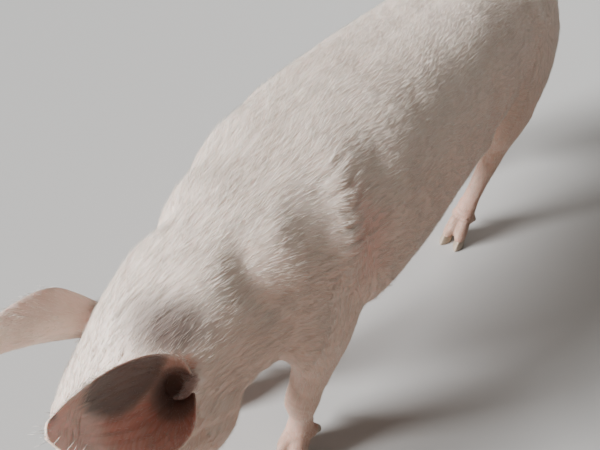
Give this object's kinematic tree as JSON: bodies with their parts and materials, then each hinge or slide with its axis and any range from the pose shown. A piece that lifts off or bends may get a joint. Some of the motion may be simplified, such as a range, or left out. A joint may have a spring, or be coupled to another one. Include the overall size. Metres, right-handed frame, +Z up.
{
  "type": "domestic pig",
  "caption": "Life-size still model of a lean white domestic pig standing with its head lowered, with upright ears, a curled tail and cloven hooves.",
  "frame": {"origin": "middle of the underside of the whole animal's box, on the floor the soles stand on", "axes": "+X runs towards the head, +Y to the animal's left, +Z up"},
  "size_m": [1.4152, 0.3294, 0.6261],
  "materials": {
    "skin": "short white bristles over pale pink skin",
    "ear_skin": "thin pink skin with fine white hair",
    "snout_skin": "bare, moist, finely wrinkled pink skin",
    "eye": "wet dark brown eye",
    "horn": "dull pale horn"
  },
  "bodies": {
    "root": {"torso": "skin", "neck": "skin", "head": "skin", "snout": "snout_skin", "tail": "skin", "ear_left": "ear_skin", "ear_right": "ear_skin", "eye_left": "eye", "eye_right": "eye", "fore_leg_left": "skin", "fore_leg_right": "skin", "hind_leg_left": "skin", "hind_leg_right": "skin", "fore_claw_left_inner": "horn", "fore_claw_left_outer": "horn", "fore_claw_right_inner": "horn", "fore_claw_right_outer": "horn", "hind_claw_left_inner": "horn", "hind_claw_left_outer": "horn", "hind_claw_right_inner": "horn", "hind_claw_right_outer": "horn", "fore_dewclaw_left_inner": "horn", "fore_dewclaw_left_outer": "horn", "fore_dewclaw_right_inner": "horn", "fore_dewclaw_right_outer": "horn", "hind_dewclaw_left_inner": "horn", "hind_dewclaw_left_outer": "horn", "hind_dewclaw_right_inner": "horn", "hind_dewclaw_right_outer": "horn"}
  },
  "joints": []
}
